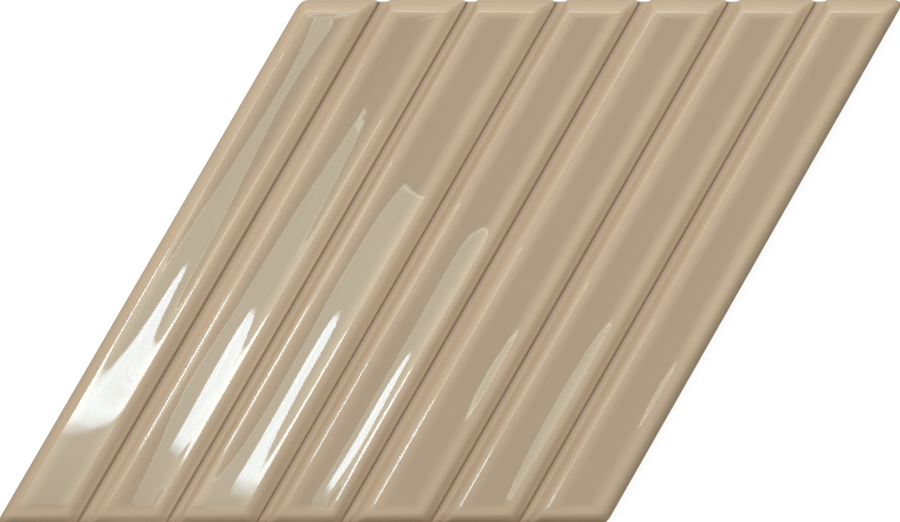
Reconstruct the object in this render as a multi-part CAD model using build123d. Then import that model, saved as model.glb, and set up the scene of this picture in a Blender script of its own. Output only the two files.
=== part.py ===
"""Rhombus wall tile with seven framed slats, pressed, glazed and fired in one piece.

The tile lies on its back. X runs along the two end edges, the slats run at
ACUTE_ANGLE to it, and Z points out of the glazed face. The origin is the
middle of the back, on the plane that beds into the adhesive.
"""

import math
import os

from build123d import *

# Outline, in millimetres and degrees
SIDE = 152.0
ACUTE_ANGLE = 60.0
THICKNESS = 9.0
ACUTE_CORNER_RADIUS = 1.6
OBTUSE_CORNER_RADIUS = 3.6
EDGE_DRAFT = 2.0

# Slats and the joints pressed between them
SLAT_COUNT = 7
JOINT_WIDTH = 1.9
JOINT_DEPTH = 2.4
JOINT_NOTCH = 0.35
JOINT_CORNER_RADIUS = 0.9
FOOT_WALL = 0.4

# Rim and dish of one slat. FLANK_EASING is the share of the flank that bends
# over into the crest, DISH_SHARE the share of the way from crest to middle that
# slopes, and DISH_CORNER_SHARE the share of the dish floor's width that its
# corner radius is
FLANK_RUN = 3.1
FLANK_EASING = 0.65
CREST_CORNER_RADIUS = 0.6
DISH_SHARE = 0.7
DISH_DEPTH = 0.25
DISH_CORNER_SHARE = 0.3

# Keyed back
KEY_COUNT = 8
KEY_RIB = 2.6
KEY_DEPTH = 0.7
KEY_BORDER = 6.0
KEY_DRAFT = 30.0

# Sections that the flank and the dish are lofted through
FLANK_SECTIONS = 10
DISH_SECTIONS = 6

SLOPE = math.radians(ACUTE_ANGLE)
JOINT_FLOOR = THICKNESS - JOINT_DEPTH
WALL_TOP = JOINT_FLOOR + FOOT_WALL
EDGE_TAPER = JOINT_FLOOR * math.tan(math.radians(EDGE_DRAFT))
TILE_WIDTH = SIDE * math.sin(SLOPE)
SLAT_WIDTH = (TILE_WIDTH - (SLAT_COUNT - 1) * JOINT_WIDTH) / SLAT_COUNT
SLAT_PITCH = (SLAT_WIDTH + JOINT_WIDTH) / math.sin(SLOPE)
DISH_RUN = DISH_SHARE * (SLAT_WIDTH / 2 - FLANK_RUN)
DISH_FLOOR_WIDTH = SLAT_WIDTH - 2 * (FLANK_RUN + DISH_RUN)
DISH_CORNER_RADIUS = DISH_CORNER_SHARE * DISH_FLOOR_WIDTH


def corner_points(width, length, inset):
    """Corners of a slanted outline, from the lower left one anticlockwise.

    width is measured square to the slanted sides, length along them, and
    inset moves all four sides inwards.
    """
    base = (width - 2 * inset) / math.sin(SLOPE)
    slant = length - 2 * inset / math.sin(SLOPE)
    lean = slant * math.cos(SLOPE)
    rise = slant * math.sin(SLOPE)
    left = -(base + lean) / 2
    return [
        Vector(left, -rise / 2),
        Vector(left + base, -rise / 2),
        Vector(left + base + lean, rise / 2),
        Vector(left + lean, rise / 2),
    ]


def outline(width, length, inset, radii, height):
    """A slanted face with its corners eased by the given radii, at a height."""
    points = corner_points(width, length, inset)
    half_angles = [SLOPE / 2, (math.pi - SLOPE) / 2] * 2
    eased = []
    for index, point in enumerate(points):
        reach = radii[index] / math.tan(half_angles[index])
        before = (points[index - 1] - point).normalized() * reach
        after = (points[(index + 1) % 4] - point).normalized() * reach
        eased.append((point + before, point, point + after))
    edges = []
    for index, corner in enumerate(eased):
        edges.append(Bezier(*corner))
        edges.append(Line(corner[-1], eased[(index + 1) % 4][0]))
    return Pos(0, 0, height) * make_face(edges)


def foot_radii(number):
    """Corner radii at the foot of a slat: the two outer slats carry the tile's own corners."""
    radii = [JOINT_CORNER_RADIUS] * 4
    if number == 0:
        radii[0] = ACUTE_CORNER_RADIUS
        radii[3] = OBTUSE_CORNER_RADIUS
    if number == SLAT_COUNT - 1:
        radii[1] = OBTUSE_CORNER_RADIUS
        radii[2] = ACUTE_CORNER_RADIUS
    return radii


def flank_drop(share):
    """How far the flank has dropped, 0 at the crest and 1 at the foot.

    Its slope grows as a smooth step over the first FLANK_EASING of the run and
    is the same from there to the foot.
    """
    eased = min(share / FLANK_EASING, 1)
    straight = max(share - FLANK_EASING, 0)
    return (FLANK_EASING * (eased**3 - eased**4 / 2) + straight) / (1 - FLANK_EASING / 2)


def flank_sections(radii):
    """Outlines up the flank, from the foot wall to the crest."""
    rise = THICKNESS - WALL_TOP
    for step in range(FLANK_SECTIONS + 1):
        share = step / FLANK_SECTIONS
        eased = [foot + (CREST_CORNER_RADIUS - foot) * share for foot in radii]
        height = THICKNESS - rise * flank_drop(1 - share)
        yield outline(SLAT_WIDTH, SIDE, FLANK_RUN * share, eased, height)


def dish_sections():
    """Outlines from the crest down to the floor of the dish, along half a cosine wave."""
    for step in range(1, DISH_SECTIONS + 1):
        share = step / DISH_SECTIONS
        fall = DISH_DEPTH * (1 - math.cos(math.pi * share)) / 2
        radius = CREST_CORNER_RADIUS + (DISH_CORNER_RADIUS - CREST_CORNER_RADIUS) * share
        inset = FLANK_RUN + DISH_RUN * share
        yield outline(SLAT_WIDTH, SIDE, inset, [radius] * 4, THICKNESS - fall)


def slat(number):
    """One slat in its place: a drafted block with the rim and dish lofted on top of it."""
    radii = foot_radii(number)
    block = loft(
        [
            outline(SLAT_WIDTH, SIDE, EDGE_TAPER, radii, 0),
            outline(SLAT_WIDTH, SIDE, 0, radii, JOINT_FLOOR),
            outline(SLAT_WIDTH, SIDE, 0, radii, WALL_TOP),
        ],
        ruled=True,
    )
    crown = loft([*flank_sections(radii), *dish_sections()])
    return Pos((number - (SLAT_COUNT - 1) / 2) * SLAT_PITCH, 0, 0) * (block + crown)


def core():
    """The clay under and between the slats, up to the floor of the joints."""
    radii = [OBTUSE_CORNER_RADIUS] * 4
    foot = outline(TILE_WIDTH, SIDE, JOINT_NOTCH + EDGE_TAPER, radii, 0)
    top = outline(TILE_WIDTH, SIDE, JOINT_NOTCH, radii, JOINT_FLOOR)
    return loft([foot, top], ruled=True)


def key_pockets():
    """The drafted rhombic pockets of the back, with ribs left standing between them."""
    field = SIDE - 2 * KEY_BORDER / math.sin(SLOPE)
    pitch = (field + KEY_RIB / math.sin(SLOPE)) / KEY_COUNT
    cell_width = pitch * math.sin(SLOPE) - KEY_RIB
    cell = make_face(Polyline(*corner_points(cell_width, cell_width / math.sin(SLOPE), 0), close=True))
    pocket = extrude(cell, KEY_DEPTH, taper=KEY_DRAFT)
    steps = [(index - (KEY_COUNT - 1) / 2) * pitch for index in range(KEY_COUNT)]
    return [
        Pos(across + along * math.cos(SLOPE), along * math.sin(SLOPE), 0) * pocket
        for across in steps
        for along in steps
    ]


def tile():
    """Core and slats as one solid, with the back keyed."""
    body = core() + [slat(number) for number in range(SLAT_COUNT)]
    return body - key_pockets()


os.makedirs("parts", exist_ok=True)
export_step(tile(), "parts/tile.step")
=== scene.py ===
"""The look of one wall tile: a rhombus of seven framed slats, pressed, glazed and fired in one piece.

It lies on its back on a pale studio floor, under soft panels, and the camera looks down on it.
"""

import bpy
import numpy as np
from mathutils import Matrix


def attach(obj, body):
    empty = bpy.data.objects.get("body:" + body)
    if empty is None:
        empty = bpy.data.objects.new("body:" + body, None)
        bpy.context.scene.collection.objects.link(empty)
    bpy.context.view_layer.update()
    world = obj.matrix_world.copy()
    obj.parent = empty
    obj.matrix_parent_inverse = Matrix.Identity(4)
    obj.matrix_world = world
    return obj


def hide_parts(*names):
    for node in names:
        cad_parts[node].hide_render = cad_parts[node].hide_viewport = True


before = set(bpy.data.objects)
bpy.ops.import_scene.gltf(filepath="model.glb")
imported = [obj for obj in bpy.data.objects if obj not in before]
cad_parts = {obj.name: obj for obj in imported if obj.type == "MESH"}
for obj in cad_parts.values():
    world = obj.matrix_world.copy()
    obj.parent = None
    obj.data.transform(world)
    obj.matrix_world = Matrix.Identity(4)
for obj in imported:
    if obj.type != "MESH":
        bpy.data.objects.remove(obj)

MM = 0.001

# Sizes of the pressed tile, the same as in the part's source
SIDE = 152.0 * MM
SLOPE = np.radians(60.0)
THICKNESS = 9.0 * MM
SLAT_COUNT = 7
JOINT_WIDTH = 1.9 * MM
JOINT_DEPTH = 2.4 * MM
JOINT_NOTCH = 0.35 * MM
FOOT_WALL = 0.4 * MM
FLANK_RUN = 3.1 * MM
FLANK_EASING = 0.65
KEY_COUNT = 8
KEY_RIB = 2.6 * MM
KEY_DEPTH = 0.7 * MM
KEY_BORDER = 6.0 * MM
KEY_DRAFT = np.radians(30.0)

TILE_WIDTH = SIDE * np.sin(SLOPE)
SLAT_WIDTH = (TILE_WIDTH - (SLAT_COUNT - 1) * JOINT_WIDTH) / SLAT_COUNT
SLAT_STEP = SLAT_WIDTH + JOINT_WIDTH
JOINT_FLOOR = THICKNESS - JOINT_DEPTH
WALL_TOP = JOINT_FLOOR + FOOT_WALL
KEY_STEP = (TILE_WIDTH - 2 * KEY_BORDER + KEY_RIB) / KEY_COUNT

# Reach of each eased corner: at the foot of a slat, at its crest, in its dish, and in a pocket of the back
TILE_ACUTE_REACH = 2.4 * MM
TILE_OBTUSE_REACH = 1.8 * MM
JOINT_ACUTE_REACH = 1.35 * MM
JOINT_OBTUSE_REACH = 0.45 * MM
CREST_ACUTE_REACH = 1.6 * MM
CREST_OBTUSE_REACH = 0.9 * MM
DISH_ACUTE_REACH = 4.0 * MM
DISH_OBTUSE_REACH = 2.4 * MM
POCKET_REACH = 0.9 * MM

# Floor of the joints: how much lower it lies at its left side, and the crease there
JOINT_LEAN = 0.30 * MM
CREASE_DEPTH = 0.18 * MM
CREASE_WIDTH = 0.22 * MM

# Dish: how softly it sets in, how it fades to the middle, and how it ends behind the upper crest
DISH_SOFTNESS = 0.08
DISH_FLATNESS = 0.75
END_LIP_SLOPE = 0.20
END_LIP_REACH = 0.05 * MM

# Flanks: the land before each left crest, and how round they are along the tile's own edge
LAND_WIDTH = 0.3 * MM
OUTER_ROUNDNESS = 0.5
OUTER_BLEND = 1.5 * MM

# What pressing and firing did, for each joint or slat from the left one on, or for all alike
JOINT_DRIFT = np.array([0.0, 0.1, 0.5, -0.4, -0.1, -0.1]) * MM
LEFT_RUN = np.array([2.95, 2.7, 2.1, 2.5, 3.3, 2.7, 2.7]) * MM
RIGHT_RUN = np.array([3.8, 3.5, 4.0, 3.3, 3.6, 3.6, 3.6]) * MM
LOWER_RUN = 3.2 * MM
UPPER_RUN = 3.8 * MM
LAND_SLOPES = np.array([0.0, 0.013, 0.013, 0.037, 0.047, 0.060, 0.073])
WAVE_HEIGHT = 0.05 * MM

# Slow waves in the glaze: turns across the tile, turns up it times WAVE_STRETCH, and where each starts
WAVES = [(1.7, 41.0, 0.3), (2.3, 67.0, 1.9), (4.1, 93.0, 4.0), (3.1, 140.0, 2.6)]
WAVE_STRETCH = 14

# Depth of each dish, and sideways slope and swell of each slat. A row holds the ten
# numbers of a cubic B-spline from the lower end to the upper one. A fit of mirror
# geometry to the edges of the reflections made most of them, the rest were set one by one.
DISH_DEPTHS = np.array([
    [0.020, 0.010, 0.000, 0.020, 0.130, 0.119, 0.192, 0.307, 0.010, 0.000],
    [0.285, 0.224, 0.115, 0.096, 0.137, 0.152, 0.205, 0.349, 0.191, 0.054],
    [0.000, 0.054, 0.134, 0.168, 0.131, 0.095, 0.154, 0.177, 0.178, 0.173],
    [0.389, 0.220, 0.176, 0.267, 0.112, 0.022, 0.000, 0.017, 0.051, 0.089],
    [0.045, 0.045, 0.030, 0.074, 0.035, 0.045, 0.045, 0.045, 0.050, 0.050],
    [0.071, 0.097, 0.130, 0.144, 0.091, 0.082, 0.104, 0.118, 0.128, 0.136],
    [0.144, 0.133, 0.131, 0.173, 0.131, 0.142, 0.147, 0.143, 0.135, 0.127],
]) * MM
LEANS = np.array([
    [-0.0300, -0.0300, -0.0180, -0.0059, -0.0091, -0.0093, -0.0089, 0.0049, -0.0022, -0.0111],
    [-0.0094, -0.0097, -0.0073, -0.0038, -0.0062, -0.0023, -0.0082, -0.0255, -0.0283, -0.0246],
    [0.0242, 0.0193, 0.0088, 0.0116, 0.0124, 0.0034, -0.0048, -0.0063, -0.0050, -0.0031],
    [0.0371, 0.0224, -0.0003, -0.0082, 0.0046, -0.0013, -0.0025, -0.0022, -0.0014, -0.0005],
    [0.0030, 0.0030, 0.0030, 0.0030, 0.0020, 0.0000, 0.0000, 0.0000, 0.0000, 0.0000],
    [-0.0002, 0.0018, 0.0041, 0.0054, 0.0033, 0.0019, 0.0011, 0.0005, 0.0001, -0.0002],
    [0.0019, 0.0030, 0.0042, 0.0051, 0.0024, 0.0015, 0.0008, 0.0003, 0.0000, -0.0002],
])
SWELLS = np.array([
    [-0.011, -0.048, -0.083, -0.122, -0.148, -0.165, -0.121, 0.000, 0.216, 0.482],
    [-0.185, -0.191, -0.182, -0.198, -0.226, -0.249, -0.185, 0.090, 0.339, 0.513],
    [-0.288, -0.208, -0.103, -0.006, 0.068, 0.131, 0.142, 0.122, 0.089, 0.054],
    [-0.400, -0.215, -0.006, 0.093, 0.092, 0.096, 0.110, 0.100, 0.078, 0.053],
    [0.000, 0.000, 0.000, 0.000, 0.000, 0.000, 0.000, 0.000, 0.000, 0.000],
    [0.010, 0.010, 0.008, 0.003, -0.005, -0.006, -0.007, -0.006, -0.005, -0.003],
    [0.033, 0.026, 0.019, 0.004, -0.012, -0.018, -0.018, -0.015, -0.011, -0.006],
]) * MM

# How far each slat drops towards its lower end, and over what length
END_DROP = 0.20 * MM
END_DROP_RUN = 6.5 * MM

# How far the lower edge of the glaze wanders up and down on the edge of the tile
GLAZE_LINE_WAVE = 0.35 * MM


def soft_min(first, second, reach):
    """The smaller of two distances, less a parabola of the given reach where the two are close."""
    closeness = np.clip(1 - np.abs(first - second) / reach, 0, 1)
    return np.minimum(first, second) - reach * closeness**2 / 4


def slat_feet():
    """Where each slat starts and ends, measured square to the slanted sides from the left one."""
    start = np.arange(SLAT_COUNT) * SLAT_STEP
    left = start + np.concatenate([[0], JOINT_DRIFT])
    right = start + SLAT_WIDTH + np.concatenate([JOINT_DRIFT, [0]])
    return left, right


LEFT_FEET, RIGHT_FEET = slat_feet()


def slat_number(across):
    """The slat that a place belongs to; a joint is shared by the slats on its two sides."""
    middles = (RIGHT_FEET[:-1] + LEFT_FEET[1:]) / 2
    return np.searchsorted(middles, across)


def in_left_half(across):
    """Whether a place is nearer to the left foot of its slat than to the right one."""
    number = slat_number(across)
    return across - LEFT_FEET[number] < RIGHT_FEET[number] - across


def inside_feet(across):
    """Distance inside the nearer foot at the sides of the slat; less than nothing in a joint."""
    number = slat_number(across)
    return np.minimum(across - LEFT_FEET[number], RIGHT_FEET[number] - across)


def past_right_foot(across):
    """Distance past the right foot of the last slat that has begun; less than nothing on the slat itself."""
    return across - RIGHT_FEET[np.searchsorted(LEFT_FEET[1:], across)]


def corner_reach(across, up, share):
    """Reach of the nearest eased corner, running from foot to crest to dish as share goes 0, 1, 2."""
    number = slat_number(across)
    nearer_left = in_left_half(across)
    acute = nearer_left == (up < TILE_WIDTH / 2)
    outer = (nearer_left & (number == 0)) | (~nearer_left & (number == SLAT_COUNT - 1))
    acute_foot = np.where(outer, TILE_ACUTE_REACH, JOINT_ACUTE_REACH)
    obtuse_foot = np.where(outer, TILE_OBTUSE_REACH, JOINT_OBTUSE_REACH)
    foot = np.where(acute, acute_foot, obtuse_foot)
    crest = np.where(acute, CREST_ACUTE_REACH, CREST_OBTUSE_REACH)
    dish = np.where(acute, DISH_ACUTE_REACH, DISH_OBTUSE_REACH)
    rising = np.clip(share, 0, 1)
    falling = np.clip(share - 1, 0, 1)
    return foot + (crest - foot) * rising + (dish - crest) * falling


def set_to_run(distance, run):
    """Distance from a foot, stretched so that the crest at its own run comes to FLANK_RUN."""
    return np.where(distance < run, distance * FLANK_RUN / run, distance - run + FLANK_RUN)


def side_inset(across):
    """Distance inside the nearer side of the slat; less than nothing in a joint."""
    number = slat_number(across)
    left = set_to_run(across - LEFT_FEET[number], LEFT_RUN[number])
    right = set_to_run(RIGHT_FEET[number] - across, RIGHT_RUN[number])
    return np.minimum(left, right)


def inset(across, up):
    """Distance inside the foot of the slat, its ends as well as its sides, eased at its corners."""
    side = side_inset(across)
    end = np.minimum(set_to_run(up, LOWER_RUN), set_to_run(TILE_WIDTH - up, UPPER_RUN))
    share = np.minimum(side, end) / FLANK_RUN
    return soft_min(side, end, corner_reach(across, up, share))


def flank_drop(step):
    """How far the flank has dropped, from 0 at the crest to 1 at the foot.

    Its slope grows as a smooth step over the first FLANK_EASING of the way and
    then stays the same.
    """
    eased = np.clip(step / FLANK_EASING, 0, 1)
    straight = np.clip(step - FLANK_EASING, 0, 1)
    return (FLANK_EASING * (eased**3 - eased**4 / 2) + straight) / (1 - FLANK_EASING / 2)


def dish_share(step):
    """How far the dish has fallen, from 0 at the crest to 1 at the middle of the slat.

    Its slope is (1 - exp(-step / DISH_SOFTNESS)) * (1 - step) ** DISH_FLATNESS: it
    sets in softly behind the crest and fades to the middle. The slope is added up
    in a table.
    """
    places = np.linspace(0, 1, 401)
    slope = (1 - np.exp(-places / DISH_SOFTNESS)) * (1 - places) ** DISH_FLATNESS
    fallen = np.concatenate([[0], np.cumsum(slope[1:] + slope[:-1])])
    return np.interp(step, places, fallen / fallen[-1])


def outer_side(across, up):
    """1 where the nearest foot is the tile's own edge, going to 0 where a joint is nearer."""
    edge = np.minimum(np.minimum(across, TILE_WIDTH - across), np.minimum(up, TILE_WIDTH - up))
    number = slat_number(across)
    left = np.where(number > 0, across - LEFT_FEET[number], TILE_WIDTH)
    right = np.where(number < SLAT_COUNT - 1, RIGHT_FEET[number] - across, TILE_WIDTH)
    joint = np.clip(np.minimum(left, right), 0, None)
    return np.clip(0.5 + (joint - edge) / OUTER_BLEND, 0, 1)


def along_slat(table, number, up):
    """A value of each slat, eased along it: a uniform cubic B-spline over the numbers in its row."""
    place = np.clip(up / TILE_WIDTH, 0, 1) * (table.shape[1] - 3)
    first = np.minimum(place.astype(int), table.shape[1] - 4)
    part = place - first
    rest = 1 - part
    weights = [rest**3, 3 * part**3 - 6 * part**2 + 4, 3 * rest**3 - 6 * rest**2 + 4, part**3]
    return sum(table[number, first + index] * weight for index, weight in enumerate(weights)) / 6


def waviness(across, up):
    """The glaze's own slow swell: a sum of four sine waves, lower the more turns they have up the tile."""
    total = 0.0
    for across_count, up_count, start in WAVES:
        turn = across / TILE_WIDTH * across_count + up / TILE_WIDTH * up_count / WAVE_STRETCH
        total = total + np.sin(2 * np.pi * turn + start) / up_count
    return total


def glazed_height(across, up):
    """Height of the glazed face over the tile.

    The joint floor has a narrow crease under the right flank, leans up to the
    right, and sweeps as a cubic up to the left foot of the next slat. The flank
    drops as flank_drop says, blended with a quarter ellipse on the outer sides of
    the tile; on the left one a narrow land comes first, that slopes evenly. The
    dish falls as dish_share says, no steeper than END_LIP_SLOPE behind the upper
    end. Then each slat leans about its middle line, swells along it, waves a
    little and drops as a square towards its lower end, less the most that this
    comes to on the slat, so that nothing rises past THICKNESS. All of it fades
    out down the flank.
    """
    number = slat_number(across)
    distance = inset(across, up)

    from_foot = past_right_foot(across)
    in_joint = np.clip(from_foot / JOINT_WIDTH, 0, 1)
    crease = CREASE_DEPTH * np.clip(1 - np.abs(from_foot) / CREASE_WIDTH, 0, 1) ** 2
    joint = JOINT_FLOOR - JOINT_LEAN * (1 - in_joint) + FOOT_WALL * in_joint**3 - crease

    rise = np.clip(distance / FLANK_RUN, 0, 1)
    on_left = in_left_half(across)
    land = np.where(on_left, np.clip(FLANK_RUN - distance, 0, LAND_WIDTH), 0)
    past_land = np.clip((FLANK_RUN - distance - land) / (FLANK_RUN - LAND_WIDTH * on_left), 0, 1)
    pressed = 1 - flank_drop(past_land)
    rounded = np.sqrt(1 - (1 - rise) ** 2)
    blended = pressed + OUTER_ROUNDNESS * outer_side(across, up) * (rounded - pressed)
    land_drop = LAND_SLOPES[number] * land * (1 - past_land)
    flank = WALL_TOP + (THICKNESS - WALL_TOP) * blended - land_drop

    half_dish = (RIGHT_FEET - RIGHT_RUN - LEFT_FEET - LEFT_RUN)[number] / 2
    dish = along_slat(DISH_DEPTHS, number, up) * dish_share((side_inset(across) - FLANK_RUN) / half_dish)
    lip = END_LIP_SLOPE * (TILE_WIDTH - up - UPPER_RUN)
    fall = np.clip(soft_min(dish, lip, END_LIP_REACH), 0, None)

    middle = (LEFT_FEET + RIGHT_FEET)[number] / 2
    warp = along_slat(LEANS, number, up) * (across - middle) + WAVE_HEIGHT * waviness(across, up)
    warp = warp + along_slat(SWELLS, number, up) - END_DROP * np.clip(1 - up / END_DROP_RUN, 0, 1) ** 2
    top = np.zeros(SLAT_COUNT)
    np.maximum.at(top, number, warp)
    height = np.where(distance < 0, joint, flank)
    return height + (1 - (1 - rise) ** 3) * (warp - top[number] - fall)


# Grid lines of the glazed face: how many lie on a side flank, in half a dish, on each
# of the two stretches of an end and between the ends, how far in an end reaches, how
# the lines of a dish spread, and those before a left crest and, as shares, in a joint
SIDE_FLANK_LINES = 14
DISH_LINES = 11
END_LINES = 15
MIDDLE_LINES = 72
END_ZONE = 10 * MM
DISH_SPREAD = 1.5
LAND_LINES = np.array([-0.42, -0.36, -0.30, -0.24, -0.18, -0.12, -0.06]) * MM
JOINT_LINES = np.array([0.04, 0.08, 0.13, 0.24, 0.4, 0.6, 0.8, 0.94])


def across_lines():
    """Grid lines across the tile.

    A flank's lie as 1 - cos from its foot to its crest, closest at the foot, and a
    dish's as a power from its crests to its middle. A land and a joint have the
    places that LAND_LINES and JOINT_LINES give.
    """
    flank = 1 - np.cos(np.linspace(0, np.pi / 2, SIDE_FLANK_LINES))
    dish = np.linspace(0, 1, DISH_LINES)[1:] ** DISH_SPREAD
    lines = []
    for left, right, left_run, right_run in zip(LEFT_FEET, RIGHT_FEET, LEFT_RUN, RIGHT_RUN):
        middle = (left + left_run + right - right_run) / 2
        lines.append(left + left_run * flank)
        lines.append(left + left_run + LAND_LINES)
        lines.append(right - right_run * flank)
        lines.append(left + left_run + (middle - left - left_run) * dish)
        lines.append(right - right_run + (middle - right + right_run) * dish[:-1])
    for right, left in zip(RIGHT_FEET[:-1], LEFT_FEET[1:]):
        lines.append(right + (left - right) * JOINT_LINES)
    return np.sort(np.concatenate(lines))


def up_lines():
    """Grid lines up the tile: close at the two ends, evenly spread between them."""
    ends = []
    for run in (LOWER_RUN, UPPER_RUN):
        flank = run * (1 - np.cos(np.linspace(0, np.pi / 2, END_LINES)))
        ends.append(np.concatenate([flank, np.linspace(run, END_ZONE, END_LINES)[1:]]))
    between = np.linspace(END_ZONE, TILE_WIDTH - END_ZONE, MIDDLE_LINES)[1:-1]
    return np.concatenate([ends[0], between, TILE_WIDTH - ends[1][::-1]])


def end_inset(across, low):
    """How far an end of the tile stands back: a notch at each joint, an eased corner at each slat.

    The corner is a parabola that touches both sides, (sqrt(reach) - sqrt(distance
    from the side)) ** 2, and it goes no deeper than the notch away from the tile's
    own corners.
    """
    up = np.full_like(across, 0 if low else TILE_WIDTH)
    reach = corner_reach(across, up, np.zeros_like(across))
    corner = (np.sqrt(reach) - np.sqrt(np.clip(inside_feet(across), 0, reach))) ** 2
    outer = (across < RIGHT_FEET[0] - SLAT_WIDTH / 2) | (across > LEFT_FEET[-1] + SLAT_WIDTH / 2)
    return np.where(outer, corner, np.minimum(corner, JOINT_NOTCH))


def placed(across, up, height):
    """Corners in the tile's own frame, from distances square to its left side and lower end."""
    y = up - TILE_WIDTH / 2
    x = (across - TILE_WIDTH / 2) / np.sin(SLOPE) + y / np.tan(SLOPE)
    return np.stack([x, y, np.broadcast_to(height, x.shape)], axis=-1)


def square_places(corners):
    """The other way round: distances square to the left side and the lower end, from corners."""
    across = TILE_WIDTH / 2 + (corners[:, 0] - corners[:, 1] / np.tan(SLOPE)) * np.sin(SLOPE)
    up = corners[:, 1] + TILE_WIDTH / 2
    return across, up


def grid_faces(rows, columns, first=0):
    """Four-cornered faces of a grid whose corners are numbered row by row, facing up."""
    numbers = first + np.arange(rows * columns).reshape(rows, columns)
    corners = [numbers[:-1, :-1], numbers[:-1, 1:], numbers[1:, 1:], numbers[1:, :-1]]
    return np.stack([corner.ravel() for corner in corners], axis=-1)


def rim_numbers(rows, columns, first=0):
    """Corners around the rim of a grid, anticlockwise from the lower left one."""
    numbers = first + np.arange(rows * columns).reshape(rows, columns)
    sides = [numbers[0, :-1], numbers[:-1, -1], numbers[-1, :0:-1], numbers[:0:-1, 0]]
    return np.concatenate(sides)


def stitched(outer, outer_places, inner, inner_places):
    """Triangles between two closed loops: an edge's third corner is the last one passed on the other loop."""
    outer_end = np.append(outer_places[1:], 4.0)
    inner_end = np.append(inner_places[1:], 4.0)
    from_inner = np.searchsorted(inner_places, outer_end, side="left") - 1
    from_outer = np.searchsorted(outer_places, inner_end, side="right") - 1
    outer_faces = [np.roll(outer, -1), outer, inner[from_inner]]
    wrapped = np.append(outer, outer[0])
    inner_faces = [inner, np.roll(inner, -1), wrapped[np.where(inner_end < 4.0, from_outer, len(outer))]]
    return np.concatenate([np.stack(outer_faces, axis=-1), np.stack(inner_faces, axis=-1)])


# Where the skin of the back starts, and its grid lines beside each side of a pocket
BACK_MARGIN = 2.4 * MM
POCKET_LINES = np.array([-0.3, 0.0, 0.12, 0.28, 0.42, 0.9, 2.2]) * MM


def inside_pocket(place):
    """Distance inside the nearer side of a pocket, one way over the back."""
    cell = np.clip((place - KEY_BORDER) // KEY_STEP, 0, KEY_COUNT - 1)
    start = KEY_BORDER + cell * KEY_STEP
    return np.minimum(place - start, start + KEY_STEP - KEY_RIB - place)


def key_depth(across, up):
    """Depth of the pockets: a flat floor, and sides halfway between a straight draft and a cosine wave."""
    distance = soft_min(inside_pocket(across), inside_pocket(up), POCKET_REACH)
    side = np.clip(distance / (KEY_DEPTH * np.tan(KEY_DRAFT)), 0, 1)
    return KEY_DEPTH * (0.5 - 0.5 * np.cos(np.pi * side) + side) / 2


def key_lines():
    """Grid lines over the back, close at both sides of every pocket, the same both ways."""
    cell = KEY_STEP - KEY_RIB
    one = np.concatenate([POCKET_LINES, [cell / 2], cell - POCKET_LINES[::-1]])
    lines = (KEY_BORDER + np.arange(KEY_COUNT)[:, None] * KEY_STEP + one).ravel()
    ends = np.array([BACK_MARGIN, (BACK_MARGIN + KEY_BORDER) / 2])
    return np.sort(np.concatenate([lines, ends, TILE_WIDTH - ends]))


def glaze_line_wave(place):
    """How far the lower edge of the glaze wanders up and down, as four sine waves around the tile."""
    x, y = place[..., 0], place[..., 1]
    turn = (x + 0.6 * y) / SIDE
    slow = np.sin(2 * np.pi * turn * 3.1 + 0.4) + 0.7 * np.sin(2 * np.pi * turn * 7.3 + 2.0)
    quick = 0.4 * np.sin(2 * np.pi * (x - y) / SIDE * 17.0) + 0.2 * np.sin(2 * np.pi * turn * 41.0)
    return GLAZE_LINE_WAVE * (slow + quick) / 2


# The edge of the tile from the glazed face down to the back, in millimetres: height,
# how far it stands back, how much of the notches and corners is left, how far it
# follows the wave of the glaze line, and whether it is glazed
EDGE_PROFILE = np.array([
    [6.30, 0.000, 1.0, 0.0, 1],
    [5.40, 0.010, 1.0, 0.2, 1],
    [4.50, 0.030, 1.0, 0.7, 1],
    [3.70, 0.045, 1.0, 1.0, 1],
    [3.42, 0.055, 1.0, 1.0, 1],
    [3.25, 0.085, 1.0, 1.0, 1],
    [3.15, 0.140, 1.0, 1.0, 1],
    [3.10, 0.200, 1.0, 1.0, 1],
    [3.06, 0.235, 1.0, 1.0, 0],
    [2.20, 0.240, 1.0, 0.6, 0],
    [1.20, 0.245, 1.0, 0.0, 0],
    [0.50, 0.255, 1.0, 0.0, 0],
    [0.22, 0.300, 0.9, 0.0, 0],
    [0.06, 0.440, 0.7, 0.0, 0],
    [0.00, 0.700, 0.4, 0.0, 0],
    [0.00, 1.300, 0.0, 0.0, 0],
])


# How far in from an end of the tile the grid still follows its notches and corners
NOTCH_FADE = 8 * MM


def edge_rings(rim_across, rim_up, rim_shift, wave):
    """Loops down the edge, one for each row of EDGE_PROFILE, each drawn in evenly about the tile's middle.

    rim_up is measured from the middle of the tile, rim_shift is how far the notches
    and corners move the rim, and wave is the wander of the glaze line there.
    """
    rings = []
    for height, back, notch, follow, _ in EDGE_PROFILE:
        drawn_in = 1 - 2 * back * MM / TILE_WIDTH
        ring_across = back * MM + rim_across * drawn_in
        ring_up = TILE_WIDTH / 2 + rim_up * drawn_in + notch * rim_shift
        rings.append(placed(ring_across, ring_up, height * MM + follow * wave))
    return rings


def loop_places(across, up):
    """Places around the loop of a grid's rim: 0 to 4, one for each side."""
    a = (across - across[0]) / (across[-1] - across[0])
    u = (up - up[0]) / (up[-1] - up[0])
    return np.concatenate([a[:-1], 1 + u[:-1], 3 - a[:0:-1], 4 - u[:0:-1]])


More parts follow.
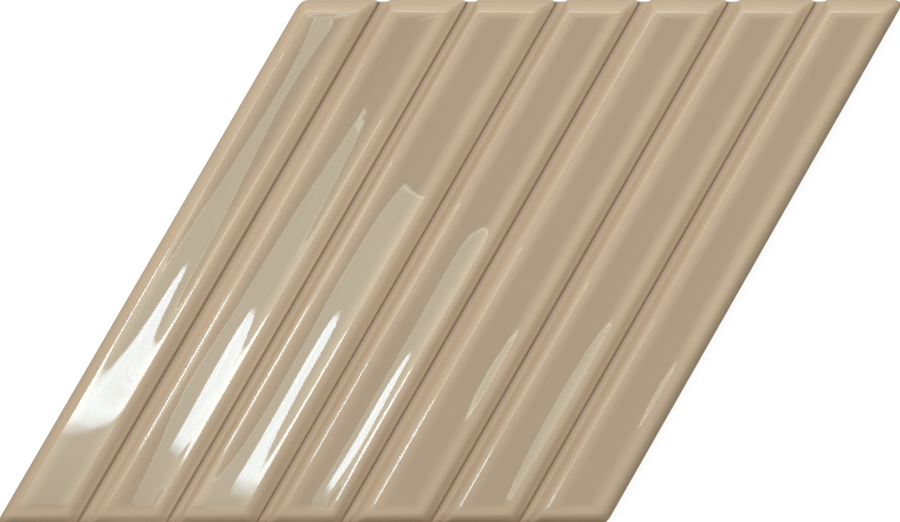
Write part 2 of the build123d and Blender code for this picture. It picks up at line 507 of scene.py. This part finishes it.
def tile_mesh():
    """The tile as one closed skin: glazed face, edge, rim of the back and keyed back.

    It gives the corners, the four-cornered and three-cornered faces, and on every
    corner 1 where the glaze covers the clay and 0 where it doesn't.
    """
    across = across_lines()
    up = up_lines()
    low = end_inset(across, True)
    high = end_inset(across, False)
    fade = np.clip(1 - up / NOTCH_FADE, 0, 1) ** 2
    shift = fade[:, None] * low - fade[::-1, None] * high
    across_grid, up_grid = np.meshgrid(across, up)
    face_up = up_grid + shift
    face = placed(across_grid, face_up, glazed_height(across_grid, face_up))
    rows, columns = across_grid.shape

    rim = rim_numbers(rows, columns)
    rim_across = across_grid.ravel()[rim]
    rim_up = up_grid.ravel()[rim] - TILE_WIDTH / 2
    rim_shift = shift.ravel()[rim]
    wave = glaze_line_wave(face.reshape(-1, 3)[rim])
    rings = edge_rings(rim_across, rim_up, rim_shift, wave)
    ring_numbers = rows * columns + np.arange(len(rings) * len(rim)).reshape(len(rings), -1)
    loops = np.vstack([rim, ring_numbers])
    upper, lower = loops[:-1], loops[1:]
    edge_faces = np.stack([upper, lower, np.roll(lower, -1, 1), np.roll(upper, -1, 1)], axis=-1)

    lines = key_lines()
    back_across, back_up = np.meshgrid(lines, lines)
    back = placed(back_across, back_up, key_depth(back_across, back_up))
    back_first = rows * columns + ring_numbers.size
    back_faces = grid_faces(len(lines), len(lines), back_first)[:, ::-1]
    back_rim = rim_numbers(len(lines), len(lines), back_first)
    strip = stitched(loops[-1], loop_places(across, up), back_rim, loop_places(lines, lines))

    corners = np.concatenate([face.reshape(-1, 3), *rings, back.reshape(-1, 3)])
    ring_cover = np.repeat(EDGE_PROFILE[:, 4], len(rim))
    cover = np.concatenate([np.ones(rows * columns), ring_cover, np.zeros(back_across.size)])
    faces = [grid_faces(rows, columns), edge_faces.reshape(-1, 4), back_faces]
    return corners, np.concatenate(faces), strip[:, ::-1], cover


# How thick the glaze lies, with painted shade added to it, as a number: 0 is thin, 1 is thick, and past that
# it turns to a dark painted shade.
# First the lengths over which a dish fills up from its sides and ends, and how much of
# the difference between crest and dish is left at the lower end of the tile: the crests are paler towards
# the upper end, in part as thinner glaze and in part as a painted highlight
POOL_SIDE_RUN = 3.2 * MM
POOL_LOWER_RUN = 2.6 * MM
POOL_UPPER_RUN = 1.6 * MM
LOWER_CONTRAST = 0.55
CONTRAST_RUN = 60 * MM

# Then the painted shade of the joints: at the right foot, lost over the joint, and added in the crease
JOINT_SHADE = 1.6
JOINT_SHADE_LOSS = 1.8
CREASE_SHADE = 0.8
CREASE_SHADE_CORE = 1.2
JOINT_MARGIN = 0.25 * MM

# Then bands of painted shade beside a foot, on the right flanks, the tile's right side and its lower end: how
# strong, and the length over which they go. The two at the tile's own edge stay at their full strength first,
# up to a share of that length
RIGHT_FLANK_SHADE = 0.15
RIGHT_FLANK_BAND = 2.2 * MM
RIGHT_SIDE_BAND = 2.2 * MM
RIGHT_SIDE_REACH = 1.25
LOWER_END_SHADE = 1.45
LOWER_END_BAND = 2.4 * MM
LOWER_END_REACH = 1.5
LOWER_END_MOST = 1.2

# Over what length the dull glaze of a joint's floor ends at its sides
DULL_BLEND = 0.2 * MM


def pool_and_painted_shade(corners, cover):
    """How thick the glaze lies, with painted shade added: thin on the crests, thick in the dishes, and
    darkest in the joints as painted shade.

    A dish fills up from its crests as a smooth step; the crests stay paler towards the upper end, in part as
    thinner glaze and in part as a painted highlight. In a joint, painted shade goes down evenly from its
    crease to the left foot of the next slat. The right flanks, the tile's own right side and its lower end
    each have a band of painted shade that goes down evenly from the foot. Where two meet, the larger value
    holds.
    """
    across, up = square_places(corners)
    distance = inset(np.clip(across, 0, TILE_WIDTH), np.clip(up, 0, TILE_WIDTH))

    ends = np.minimum((up - LOWER_RUN) / POOL_LOWER_RUN, (TILE_WIDTH - up - UPPER_RUN) / POOL_UPPER_RUN)
    filled = np.clip(np.minimum((side_inset(across) - FLANK_RUN) / POOL_SIDE_RUN, ends), 0, 1)
    smooth = filled**2 * (3 - 2 * filled)
    # Crests paler towards the upper end: in part thinner glaze, in part a painted highlight
    contrast = LOWER_CONTRAST + (1 - LOWER_CONTRAST) * np.clip(up / CONTRAST_RUN, 0, 1)
    dish = 1 - (1 - smooth) * contrast

    from_foot = past_right_foot(across)
    # Painted shade in the joint: darkest in the crease at the foot of the right flank, fading across the
    # joint floor
    crease = np.clip(CREASE_SHADE_CORE - np.abs(from_foot) / CREASE_WIDTH, 0, 1)
    joint = JOINT_SHADE - JOINT_SHADE_LOSS * np.clip(from_foot / JOINT_WIDTH, 0, 1) + CREASE_SHADE * crease
    in_joint = (from_foot > -JOINT_MARGIN) & (distance < JOINT_MARGIN) & (across < LEFT_FEET[-1])

    # Painted shade: darker bands along the right flanks, the tile's right side and its lower end, which face
    # away from the light
    right_half = RIGHT_FEET[slat_number(across)] - across < SLAT_WIDTH / 2
    right_flank_shade = RIGHT_FLANK_SHADE * np.clip(1 - distance / RIGHT_FLANK_BAND, 0, 1) * right_half
    right_side_shade = np.clip(RIGHT_SIDE_REACH - (TILE_WIDTH - across) / RIGHT_SIDE_BAND, 0, 1)
    lower_end_shade = LOWER_END_SHADE * np.clip(LOWER_END_REACH - up / LOWER_END_BAND, 0, LOWER_END_MOST)
    shade_bands = np.maximum(np.maximum(right_flank_shade, right_side_shade), lower_end_shade)
    return cover * np.maximum(np.where(in_joint, joint, dish), shade_bands)


def joint_share(corners):
    """1 on the floor of the joints, where the glaze is dull, going evenly to 0 at their sides."""
    across, up = square_places(corners)
    on_face = corners[:, 2] > JOINT_FLOOR - JOINT_LEAN - 2 * CREASE_DEPTH
    within = (across > 0) & (across < TILE_WIDTH) & (up > 0)
    return np.clip(0.5 - inside_feet(across) / DULL_BLEND, 0, 1) * (on_face & within)


def solid_object(name, corners, squares, triangles):
    """A mesh object from arrays of corners, four-cornered faces and three-cornered faces."""
    mesh = bpy.data.meshes.new(name)
    loops = np.concatenate([squares.ravel(), triangles.ravel()]).astype(np.int32)
    counts = np.concatenate([np.full(len(squares), 4), np.full(len(triangles), 3)])
    starts = np.concatenate([[0], np.cumsum(counts)[:-1]]).astype(np.int32)
    mesh.vertices.add(len(corners))
    mesh.vertices.foreach_set("co", corners.astype(np.float32).ravel())
    mesh.loops.add(len(loops))
    mesh.loops.foreach_set("vertex_index", loops)
    mesh.polygons.add(len(counts))
    mesh.polygons.foreach_set("loop_start", starts)
    mesh.polygons.foreach_set("use_smooth", np.ones(len(counts), bool))
    mesh.update(calc_edges=True)
    mesh.validate()
    piece = bpy.data.objects.new(name, mesh)
    bpy.context.scene.collection.objects.link(piece)
    return piece


def point_values(piece, name, values):
    """A named value on every corner of a mesh, for its material to read."""
    attribute = piece.data.attributes.new(name, "FLOAT", "POINT")
    attribute.data.foreach_set("value", values.astype(np.float32))


class Nodes:
    """A short way to add nodes to a material or a light and join them."""

    def __init__(self, owner):
        owner.use_nodes = True
        self.tree = owner.node_tree

    def add(self, kind, settings=None, **inputs):
        """A node of a kind, with its settings and its inputs, each a value or another node's output."""
        node = self.tree.nodes.new(kind)
        for key, value in (settings or {}).items():
            setattr(node, key, value)
        for key, value in inputs.items():
            self.feed(node.inputs[key.replace("_", " ")], value)
        return node

    def feed(self, socket, value):
        """A value or an output goes into a socket."""
        if isinstance(value, bpy.types.NodeSocket):
            self.tree.links.new(value, socket)
        else:
            socket.default_value = value

    def object_place(self):
        """The place on the piece, in its own frame."""
        return self.add("ShaderNodeTexCoord").outputs["Object"]

    def noise(self, place, scale, detail=2.0, roughness=0.5):
        """Clouds of about one over scale metres."""
        node = self.add("ShaderNodeTexNoise", Vector=place, Scale=scale, Detail=detail, Roughness=roughness)
        return node.outputs["Fac"]

    def between(self, value, low, high, out_low=0.0, out_high=1.0, way="SMOOTHSTEP"):
        """A value taken from one range to another and no further, smoothly unless another way is named."""
        node = self.add("ShaderNodeMapRange", {"interpolation_type": way}, Value=value)
        node.inputs["From Min"].default_value = low
        node.inputs["From Max"].default_value = high
        node.inputs["To Min"].default_value = out_low
        node.inputs["To Max"].default_value = out_high
        return node.outputs["Result"]

    def blend(self, share, first, second):
        """One colour going over to another as share goes from 0 to 1."""
        node = self.add("ShaderNodeMix", {"data_type": "RGBA"})
        self.feed(node.inputs["Factor"], share)
        self.feed(node.inputs[6], first)
        self.feed(node.inputs[7], second)
        return node.outputs[2]

    def maths(self, operation, first, second=0.0):
        """Plain arithmetic on two values."""
        node = self.add("ShaderNodeMath", {"operation": operation})
        self.feed(node.inputs[0], first)
        self.feed(node.inputs[1], second)
        return node.outputs[0]

    def product(self, first, *others):
        """All the values multiplied, one after the other."""
        for other in others:
            first = self.maths("MULTIPLY", first, other)
        return first

    def value(self, name):
        """A value that the piece carries on its corners."""
        return self.add("ShaderNodeAttribute", {"attribute_name": name}).outputs["Fac"]


# Colours of the glaze where it is thin and thick, the thick one also used for painted shade,
# of a dark painted shade for the joints' creases and the lower end, and of the fired clay, its
# grain and its blotches
THIN_GLAZE = (0.550, 0.415, 0.272, 1)
THICK_GLAZE_AND_SHADE = (0.407, 0.302, 0.195, 1)
# Painted shade: this dark colour is put in the joints' creases and along the lower end
PAINTED_SHADE_COLOUR = (0.33, 0.205, 0.115, 1)
CLAY = (0.50, 0.40, 0.30, 1)
CLAY_GRAIN = (0.66, 0.56, 0.45, 1)
CLAY_BLOTCH = (0.72, 0.66, 0.58, 1)

# Roughness of clay, glaze and the dull floor of the joints, and how strongly the glaze bends light
CLAY_ROUGHNESS = 0.88
GLAZE_ROUGHNESS = 0.016
DULL_ROUGHNESS = 0.3
GLAZE_IOR = 1.5

# Clouds to a metre: in the glaze, in the clay as grain and as blotches, and as peel and pores
CLOUD_SCALE = 55.0
GRAIN_SCALE = 900.0
BLOTCH_SCALE = 90.0
PEEL_SCALE = 260.0
PORE_SCALE = 1600.0

# How much the clouds thicken the glaze, how much the grain frays its edge, and how strong
# the blotches are. Peel and pores are shares of BUMP_DEPTH
GLAZE_CLOUD = 0.07
FRAY = 0.3
BLOTCHES = 0.35
BUMP_DEPTH = 0.15 * MM
PEEL = 0.012
PORES = 0.6


def glaze_and_body():
    """Glossy glaze over pale fired clay: the clay shows where the glaze doesn't cover the edge and back.

    The glaze goes from its thin colour to its thick one as the pool grows, with soft
    clouds, and past 1.1 over to a dark painted shade. The same value also carries
    painted shade: bands along the right flanks, the right side and the lower end, and
    the dark crease of each joint. The clay has fine grain and wide blotches. The grain
    also frays the line where the glaze ends. Bumps are a faint peel all over and
    pores in the bare clay.
    """
    material = bpy.data.materials.new("glazed_clay")
    nodes = Nodes(material)
    place = nodes.object_place()
    cover = nodes.value("glaze_cover")
    pool_and_shade = nodes.value("pool_and_painted_shade")
    dull = nodes.value("joint_share")

    cloud = nodes.noise(place, CLOUD_SCALE, 3.0)
    pool_and_shade = nodes.maths("ADD", pool_and_shade, nodes.between(cloud, 0.3, 0.7, -GLAZE_CLOUD, GLAZE_CLOUD))
    # Thin to thick glaze, then past 1.1 a dark painted shade; the value also carries painted shade bands
    glaze = nodes.blend(pool_and_shade, THIN_GLAZE, THICK_GLAZE_AND_SHADE)
    glaze = nodes.blend(nodes.between(pool_and_shade, 1.1, 2.0), glaze, PAINTED_SHADE_COLOUR)

    grain = nodes.noise(place, GRAIN_SCALE, 4.0, 0.7)
    blotch = nodes.noise(place, BLOTCH_SCALE, 3.0)
    clay = nodes.blend(nodes.between(grain, 0.35, 0.7), CLAY, CLAY_GRAIN)
    clay = nodes.blend(nodes.between(blotch, 0.45, 0.75, 0.0, BLOTCHES), clay, CLAY_BLOTCH)

    frayed = nodes.maths("ADD", cover, nodes.between(grain, 0.0, 1.0, -FRAY, FRAY))
    glazed = nodes.between(frayed, 0.35, 0.65)
    shader = nodes.tree.nodes["Principled BSDF"]
    nodes.feed(shader.inputs["Base Color"], nodes.blend(glazed, clay, glaze))
    gloss = nodes.between(glazed, 0.0, 1.0, CLAY_ROUGHNESS, GLAZE_ROUGHNESS)
    roughness = nodes.maths("MAXIMUM", gloss, nodes.product(dull, DULL_ROUGHNESS))
    nodes.feed(shader.inputs["Roughness"], roughness)
    shader.inputs["IOR"].default_value = GLAZE_IOR

    peel = nodes.noise(place, PEEL_SCALE, 1.0)
    pores = nodes.noise(place, PORE_SCALE, 3.0, 0.6)
    peel_height = nodes.product(peel, PEEL)
    pore_height = nodes.product(pores, nodes.between(glazed, 0.0, 1.0, PORES, 0.0))
    bump = nodes.add("ShaderNodeBump", Strength=1.0, Distance=BUMP_DEPTH)
    nodes.feed(bump.inputs["Height"], nodes.maths("ADD", peel_height, pore_height))
    nodes.feed(shader.inputs["Normal"], bump.outputs["Normal"])
    return material


# The floor: half its width, how far it lies under the tile, its colour, and the even
# light that it shows to the camera
FLOOR_HALF = 3.0
FLOOR_GAP = 0.05 * MM
FLOOR_COLOUR = (0.25, 0.25, 0.25, 1)
FLOOR_ROUGHNESS = 0.9
FLOOR_SHINE = 0.1
FLOOR_GLOW = 0.82


def studio_floor():
    """A pale matt floor, wide enough to fill the view."""
    ways = np.array([[-1, -1, 0], [1, -1, 0], [1, 1, 0], [-1, 1, 0]])
    corners = ways * FLOOR_HALF - [0, 0, FLOOR_GAP]
    floor = solid_object("studio_floor", corners, np.array([[0, 1, 2, 3]]), np.zeros((0, 3), int))
    material = bpy.data.materials.new("pale_floor")
    nodes = Nodes(material)
    shader = nodes.tree.nodes["Principled BSDF"]
    shader.inputs["Base Color"].default_value = FLOOR_COLOUR
    shader.inputs["Roughness"].default_value = FLOOR_ROUGHNESS
    shader.inputs["Specular IOR Level"].default_value = FLOOR_SHINE
    shader.inputs["Emission Color"].default_value = (1, 1, 1, 1)
    seen = nodes.add("ShaderNodeLightPath").outputs["Is Camera Ray"]
    nodes.feed(shader.inputs["Emission Strength"], nodes.product(seen, FLOOR_GLOW))
    floor.data.materials.append(material)
    return floor


# The two panels that the slats mirror. across and along give a panel's middle, square to
# the slats and along them, from the middle of the tile, in metres like its size. power is
# the light that leaves it, in watts a square metre. radius is that of its corners. sides
# and ends are the widths over which its light fades out there, rim is how much brighter
# its rim is, dim is the light left at its lower end, eased_below says whether the corners
# there are eased too, and streak is how much the fine streaks take away.
PANELS = [
    {
        "name": "pale_panel", "across": -0.392, "along": -0.080, "height": 4.80,
        "size": (0.600, 0.890), "power": 8.2, "colour": (0.82, 1.0, 0.88),
        "radius": 0.12, "sides": (0.002, 0.002), "ends": (0.32, 0.002),
        "rim": 1.3, "dim": 0.45, "eased_below": True, "streak": 0.08,
    },
    {
        "name": "bright_panel", "across": -0.470, "along": -0.115, "height": 4.78,
        "size": (0.250, 0.350), "power": 50.0, "colour": (0.70, 0.86, 1.0),
        "radius": 0.124, "sides": (0.02, 0.03), "ends": (0.05, 0.02),
        "rim": 0.0, "dim": 0.0, "eased_below": False, "streak": 0.25,
    },
]

# Streaks to a metre, across a panel and along it. Then, as shares of the corners' radius,
# where the rim starts, where it is at its brightest and where the light starts to end
STREAKS = (60, 6)
RIM_START = 0.90
RIM_FULL = 0.95
RIM_END = 0.98

# A strip of light high up beyond the upper end, and a large panel lower down that faces the tile
STRIP_SIZE = (2.15, 0.6)
STRIP_POWER = 11.0
STRIP_COLOUR = (0.7, 0.9, 1.0)
STRIP_PLACE = (0.1, 1.35, 4.8)
TOP_SIZE = (3.2, 2.0)
TOP_WATTS = 17.0
TOP_PLACE = (0.4, 1.5, 2.6)
TOP_TURN = (np.radians(-29), 0, 0)

# Room light: how much each axis adds to a value where the light comes from that side, the
# range of that value, and the range of strength that it is taken to
ROOM_SLOPES = {"Y": 0.38, "Z": 0.85, "X": -0.12}
ROOM_RANGE = (-0.15, 1.0)
ROOM_STRENGTH = (0.0, 1.24)


def area_light(name, size, watts, colour, place, turn):
    """A rectangular light, which shines down where it isn't turned."""
    light = bpy.data.lights.new(name, "AREA")
    light.shape = "RECTANGLE"
    light.size, light.size_y = size
    light.energy = watts
    light.color = colour
    panel = bpy.data.objects.new(name, light)
    panel.location = place
    panel.rotation_euler = turn
    bpy.context.scene.collection.objects.link(panel)
    return light


def panel_axis(nodes, place, half, fades, least, both_ends, radius):
    """One way over a panel: the light left at a place, and how far the place lies past a corner's middle.

    The light comes in over the first fade, from least to 1, and goes out over the
    second one. Where both_ends is no, only the corners at the far end count.
    """
    low, high = fades
    coming = nodes.between(place, -half, low - half, least, 1.0)
    light = nodes.product(coming, nodes.between(place, half, half - high))
    away = nodes.maths("ABSOLUTE", place) if both_ends else place
    past = nodes.maths("MAXIMUM", nodes.maths("SUBTRACT", away, half - radius), 0.0)
    return light, past


def soft_panel(name, across, along, height, size, power, colour, radius, sides, ends,
               rim, dim, eased_below, streak):
    """A studio light with round corners, a bright rim and fine streaks, square to the slats and along them.

    How far a place lies past the middle of a corner's arc is the root of the two
    ways' squares added. The light ends where that comes to the radius.
    """
    x = across * np.sin(SLOPE) + along * np.cos(SLOPE)
    y = along * np.sin(SLOPE) - across * np.cos(SLOPE)
    turn = (0, 0, SLOPE - np.pi / 2)
    light = area_light(name, size, power * size[0] * size[1], colour, (x, y, height), turn)

    nodes = Nodes(light)
    over_panel = nodes.add("ShaderNodeNewGeometry").outputs["Parametric"]
    split = nodes.add("ShaderNodeSeparateXYZ", Vector=over_panel)
    place_x = nodes.product(nodes.maths("SUBTRACT", split.outputs[0], 0.5), size[0])
    place_y = nodes.product(nodes.maths("SUBTRACT", split.outputs[1], 0.5), size[1])
    light_x, past_x = panel_axis(nodes, place_x, size[0] / 2, sides, 0.0, True, radius)
    light_y, past_y = panel_axis(nodes, place_y, size[1] / 2, ends, dim, eased_below, radius)

    squares = nodes.maths("ADD", nodes.maths("POWER", past_x, 2.0), nodes.maths("POWER", past_y, 2.0))
    corner = nodes.maths("SQRT", squares)
    inside = nodes.product(light_x, light_y, nodes.between(corner, radius, RIM_END * radius))
    brim = nodes.between(corner, RIM_START * radius, RIM_FULL * radius, 1.0, 1.0 + rim)
    streaks = nodes.add("ShaderNodeMapping", Vector=over_panel)
    streaks.inputs["Scale"].default_value = (size[0] * STREAKS[0], size[1] * STREAKS[1], 1)
    cloud = nodes.noise(streaks.outputs["Vector"], 1.0, 3.0)
    left = nodes.between(cloud, 0.3, 0.7, 1.0 - streak, 1.0)
    nodes.feed(nodes.tree.nodes["Emission"].inputs["Strength"], nodes.product(inside, brim, left))


def room_light():
    """Pale light from all around, stronger from above and from beyond the tile."""
    world = bpy.data.worlds.new("studio_air")
    nodes = Nodes(world)
    way = nodes.add("ShaderNodeSeparateXYZ", Vector=nodes.add("ShaderNodeTexCoord").outputs["Generated"])
    total = 0.0
    for axis, slope in ROOM_SLOPES.items():
        total = nodes.maths("ADD", nodes.product(way.outputs[axis], slope), total)
    air = nodes.tree.nodes["Background"]
    air.inputs["Color"].default_value = (1.0, 1.0, 1.0, 1)
    nodes.feed(air.inputs["Strength"], nodes.between(total, *ROOM_RANGE, *ROOM_STRENGTH, "LINEAR"))
    bpy.context.scene.world = world


def studio():
    """Room light, the two panels that the slats mirror, and a strip and a large panel beyond the tile."""
    room_light()
    for panel in PANELS:
        soft_panel(**panel)
    strip_watts = STRIP_POWER * STRIP_SIZE[0] * STRIP_SIZE[1]
    area_light("end_strip", STRIP_SIZE, strip_watts, STRIP_COLOUR, STRIP_PLACE, (0, 0, 0))
    area_light("top_panel", TOP_SIZE, TOP_WATTS, (1, 1, 1), TOP_PLACE, TOP_TURN)


# The camera: width of its film and length of its lens in millimetres, its place and its turn
FILM_WIDTH = 36.0
LENS_LENGTH = 126.94
EYE_PLACE = (-10.66 * MM, -47.27 * MM, 800 * MM)
EYE_TURN = np.radians((3.413, -0.709, -0.108))


def camera():
    """A long lens that looks down on the tile from just below its middle, tilted up a little."""
    lens = bpy.data.cameras.new("camera")
    lens.sensor_width = FILM_WIDTH
    lens.lens = LENS_LENGTH
    lens.clip_start = 0.01
    lens.clip_end = 20.0
    eye = bpy.data.objects.new("camera", lens)
    eye.location = EYE_PLACE
    eye.rotation_euler = EYE_TURN
    bpy.context.scene.collection.objects.link(eye)
    bpy.context.scene.camera = eye


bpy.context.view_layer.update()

corners, squares, triangles, cover = tile_mesh()
tile = solid_object("glazed_tile", corners, squares, triangles)
point_values(tile, "glaze_cover", cover)
# The pool value: glaze thickness, with painted shade in the joints and along the right flanks, right side and
# lower end
point_values(tile, "pool_and_painted_shade", pool_and_painted_shade(corners, cover))
point_values(tile, "joint_share", joint_share(corners))
tile.data.materials.append(glaze_and_body())
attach(tile, "root")
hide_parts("tile")

studio_floor()
studio()
camera()
bpy.context.scene.view_settings.view_transform = "Standard"
